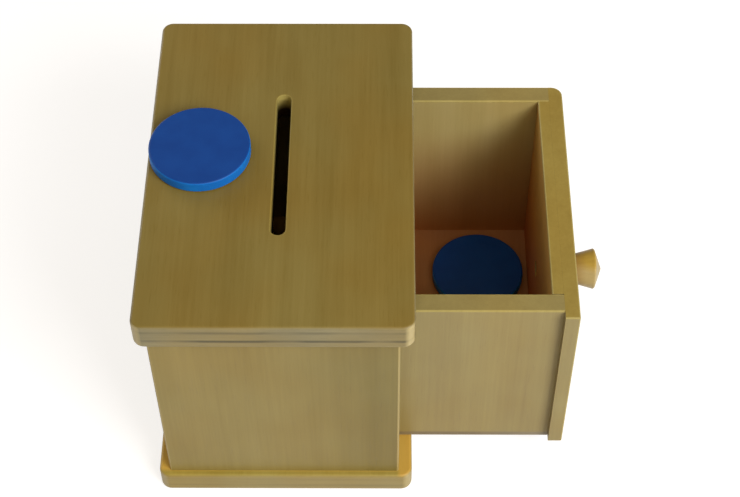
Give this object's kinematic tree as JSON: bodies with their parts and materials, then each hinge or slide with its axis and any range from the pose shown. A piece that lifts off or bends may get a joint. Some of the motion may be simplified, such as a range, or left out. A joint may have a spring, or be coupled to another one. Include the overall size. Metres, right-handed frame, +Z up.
{
  "type": "object permanence coin box",
  "caption": "Wooden posting box with a long slot in its overhanging top, a drawer with a turned knob sliding out of one end, and loose blue discs to post.",
  "frame": {"origin": "centre of the base board's underside, on the surface that the box stands on", "axes": "+Z up; +X the way the drawer pulls out; +Y towards the back wall, seen from the front wall"},
  "size_m": [0.2025, 0.172, 0.1349],
  "materials": {
    "board": "clear lacquer, satin, layered edges",
    "wall": "clear lacquer, satin",
    "drawer_wood": "clear lacquer, satin",
    "plywood": "thin sheet, sanded",
    "knob_wood": "turned and lacquered",
    "dowel": "raw beech",
    "steel": "zinc plated",
    "blue_paint": "blue paint, satin"
  },
  "bodies": {
    "box": {"top_board": "board", "base_board": "board", "front_wall": "wall", "back_wall": "wall", "end_wall": "wall", "top_dowel_1": "dowel", "top_dowel_2": "dowel", "top_dowel_3": "dowel", "top_dowel_4": "dowel", "top_dowel_5": "dowel", "top_dowel_6": "dowel", "wall_dowel_1": "dowel", "wall_dowel_2": "dowel", "wall_dowel_3": "dowel", "wall_dowel_4": "dowel", "base_screw_1": "steel", "base_screw_2": "steel", "base_screw_3": "steel", "base_screw_4": "steel", "base_screw_5": "steel", "base_screw_6": "steel"},
    "drawer": {"drawer_face": "drawer_wood", "drawer_front": "drawer_wood", "drawer_back": "drawer_wood", "drawer_near_side": "drawer_wood", "drawer_far_side": "drawer_wood", "drawer_bottom": "plywood", "knob": "knob_wood", "drawer_dowel_1": "dowel", "drawer_dowel_2": "dowel", "drawer_dowel_3": "dowel", "drawer_dowel_4": "dowel", "drawer_dowel_5": "dowel", "drawer_dowel_6": "dowel", "drawer_dowel_7": "dowel", "drawer_dowel_8": "dowel", "bottom_pin_1": "steel", "bottom_pin_2": "steel", "bottom_pin_3": "steel", "bottom_pin_4": "steel", "bottom_pin_5": "steel", "bottom_pin_6": "steel"},
    "top_disc": {"disc_on_top": "blue_paint"},
    "drawer_disc": {"disc_in_drawer": "blue_paint"}
  },
  "joints": [
    {"name": "drawer_slide", "type": "slide", "parent": "box", "child": "drawer", "axis": [1, 0, 0], "range_m": [-0.0685, 0.0085]},
    {"name": "top_disc_lift", "type": "slide", "parent": "box", "child": "top_disc", "axis": [0, 0, 1], "range_m": [0, 0.06]},
    {"name": "drawer_disc_lift", "type": "slide", "parent": "drawer", "child": "drawer_disc", "axis": [0, 0, 1], "range_m": [0, 0.085]}
  ]
}
